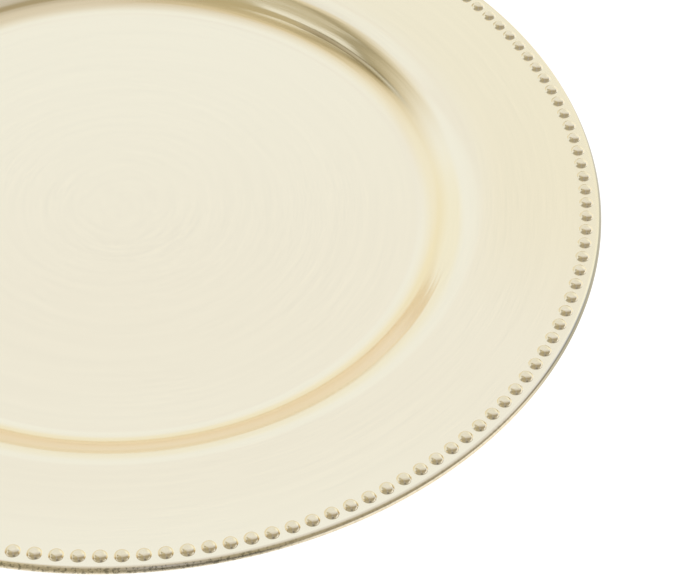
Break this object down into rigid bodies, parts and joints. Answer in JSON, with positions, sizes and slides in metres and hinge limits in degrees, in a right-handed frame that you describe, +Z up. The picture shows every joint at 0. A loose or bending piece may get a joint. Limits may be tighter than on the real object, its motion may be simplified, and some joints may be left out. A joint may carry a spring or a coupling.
{
  "type": "charger plate",
  "caption": "Round charger plate with a shallow flat well, a broad rim, a ring of half-round beads beside the edge and a foot ring underneath.",
  "frame": {"origin": "centre of the foot ring's flat face, on the surface that the plate stands on", "axes": "+Z up along the plate's centre line, through the well to the show side; +X through the middle of one bead"},
  "size_m": [0.33, 0.33, 0.0156],
  "materials": {
    "moulded_plastic": "satin gold coloured plastic, bare on the underside",
    "gold_film": "champagne gold metallic film, finely brushed in rings",
    "gold_beads": "champagne gold metallic film, smooth"
  },
  "bodies": {
    "root": {"plate_body": "moulded_plastic", "gold_film": "gold_film", "rim_beads": "gold_beads"}
  },
  "joints": []
}
